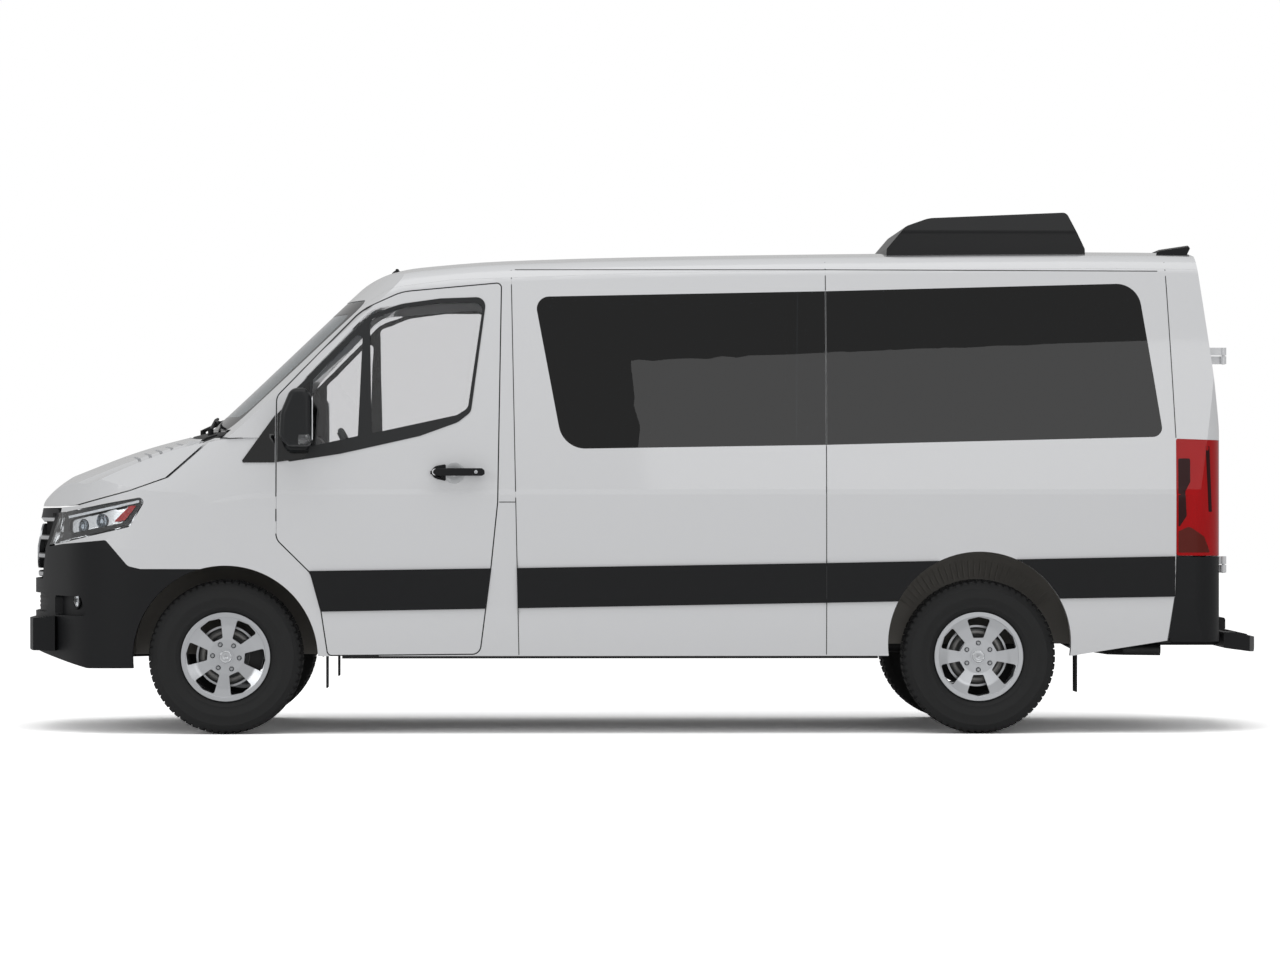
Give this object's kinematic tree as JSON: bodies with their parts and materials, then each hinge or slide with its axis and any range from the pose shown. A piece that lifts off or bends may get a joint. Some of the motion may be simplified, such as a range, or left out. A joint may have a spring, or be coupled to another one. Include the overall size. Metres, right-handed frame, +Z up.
{
  "type": "minibus",
  "caption": "Low-roof minibus with long tinted side windows, a sliding side door, twin rear doors, a roof cooling unit and a rear step.",
  "frame": {"origin": "on the ground, under the middle of the overall length and width", "axes": "+X towards the rear, +Y towards the passenger's side (the driver sits at -Y), +Z up"},
  "size_m": [6.13, 2.344, 2.5552],
  "materials": {
    "body_paint": "silver-white gloss enamel",
    "black_plastic": "grained black plastic",
    "tinted_glass": "dark tinted glass",
    "grille_trim": "black frame with bright bars",
    "clear_lens": "clear lamp lens",
    "red_lens": "red lamp lens",
    "mud_rubber": "matt rubber",
    "cast_iron": "cast iron, bare",
    "chassis_steel": "black chassis paint",
    "engine_block": "cast block",
    "exhaust_steel": "dull steel tube",
    "tank_plastic": "moulded black plastic",
    "floor_steel": "grey primed steel",
    "housing_grey": "grey painted steel",
    "dash_plastic": "soft grained plastic",
    "steering_cover": "black leather",
    "seat_cloth": "grey woven cloth",
    "seat_steel": "black painted steel",
    "tyre_rubber": "black rubber",
    "wheel_alloy": "machined and lacquered alloy"
  },
  "bodies": {
    "body": {"roof_panel": "body_paint", "cab_frames": "body_paint", "side_panel_left": "body_paint", "side_panel_right": "body_paint", "quarter_panels": "body_paint", "sliding_door": "body_paint", "fenders": "body_paint", "rear_frame": "body_paint", "front_bumper": "black_plastic", "rear_bumper": "black_plastic", "cowl": "black_plastic", "side_cladding": "black_plastic", "rear_spoiler": "black_plastic", "roof_air_conditioner": "black_plastic", "rear_step": "black_plastic", "wipers": "black_plastic", "windshield": "tinted_glass", "side_glass": "tinted_glass", "grille": "grille_trim", "front_lamps": "clear_lens", "tail_lamps": "red_lens", "mud_flaps": "mud_rubber", "chassis_frame": "chassis_steel", "rear_axle": "chassis_steel", "engine": "engine_block", "prop_shaft": "chassis_steel", "exhaust": "exhaust_steel", "fuel_tank": "tank_plastic", "floor": "floor_steel", "wheel_housings": "housing_grey", "firewall": "floor_steel", "dashboard": "dash_plastic", "seats": "seat_cloth", "seat_bases": "seat_steel"},
    "knuckle_left": {"knuckle_left": "cast_iron"},
    "knuckle_right": {"knuckle_right": "cast_iron"},
    "hood": {"hood": "body_paint"},
    "front_door_left": {"front_door_left": "body_paint", "door_glass_left": "tinted_glass", "door_trim_left": "black_plastic"},
    "front_door_right": {"front_door_right": "body_paint", "door_glass_right": "tinted_glass", "door_trim_right": "black_plastic"},
    "rear_door_left": {"rear_door_left": "body_paint", "rear_glass_left": "tinted_glass"},
    "rear_door_right": {"rear_door_right": "body_paint", "rear_glass_right": "tinted_glass"},
    "steering_wheel": {"steering_wheel": "steering_cover"},
    "wheel_front_left": {"tyre_front_left": "tyre_rubber", "rim_front_left": "wheel_alloy"},
    "wheel_front_right": {"tyre_front_right": "tyre_rubber", "rim_front_right": "wheel_alloy"},
    "wheel_rear_left": {"tyre_rear_left": "tyre_rubber", "rim_rear_left": "wheel_alloy"},
    "wheel_rear_right": {"tyre_rear_right": "tyre_rubber", "rim_rear_right": "wheel_alloy"}
  },
  "joints": [
    {"name": "steer_left", "type": "hinge", "parent": "body", "child": "knuckle_left", "pos_m": [-2.045, -0.73, 0.375], "axis": [0, 0, 1], "range_deg": [-35, 35]},
    {"name": "steer_right", "type": "hinge", "parent": "body", "child": "knuckle_right", "pos_m": [-2.045, 0.73, 0.375], "axis": [0, 0, 1], "range_deg": [-35, 35]},
    {"name": "spin_front_left", "type": "hinge", "parent": "knuckle_left", "child": "wheel_front_left", "pos_m": [-2.045, -0.86, 0.375], "axis": [0, 1, 0], "continuous": true},
    {"name": "spin_front_right", "type": "hinge", "parent": "knuckle_right", "child": "wheel_front_right", "pos_m": [-2.045, 0.86, 0.375], "axis": [0, 1, 0], "continuous": true},
    {"name": "spin_rear_left", "type": "hinge", "parent": "body", "child": "wheel_rear_left", "pos_m": [1.62, -0.86, 0.375], "axis": [0, 1, 0], "continuous": true},
    {"name": "spin_rear_right", "type": "hinge", "parent": "body", "child": "wheel_rear_right", "pos_m": [1.62, 0.86, 0.375], "axis": [0, 1, 0], "continuous": true},
    {"name": "open_front_door_left", "type": "hinge", "parent": "body", "child": "front_door_left", "pos_m": [-1.798, -1.0085, 1.1], "axis": [0, 0, -1], "range_deg": [0, 70]},
    {"name": "open_front_door_right", "type": "hinge", "parent": "body", "child": "front_door_right", "pos_m": [-1.798, 1.0085, 1.1], "axis": [0, 0, 1], "range_deg": [0, 70]},
    {"name": "open_rear_door_left", "type": "hinge", "parent": "body", "child": "rear_door_left", "pos_m": [2.824, -0.868, 1.3], "axis": [0, 0, -1], "range_deg": [0, 180]},
    {"name": "open_rear_door_right", "type": "hinge", "parent": "body", "child": "rear_door_right", "pos_m": [2.824, 0.868, 1.3], "axis": [0, 0, 1], "range_deg": [0, 180]},
    {"name": "open_hood", "type": "hinge", "parent": "body", "child": "hood", "pos_m": [-2.113, 0, 1.412], "axis": [0, 1, 0], "range_deg": [0, 45]},
    {"name": "turn_steering_wheel", "type": "hinge", "parent": "body", "child": "steering_wheel", "pos_m": [-1.42, -0.43, 1.3], "axis": [-0.9063, 0, -0.4226], "range_deg": [-540, 540]}
  ],
  "couplings": [
    {"joint": "steer_right", "follows": "steer_left", "ratio": 1},
    {"joint": "turn_steering_wheel", "follows": "steer_left", "ratio": 15}
  ]
}
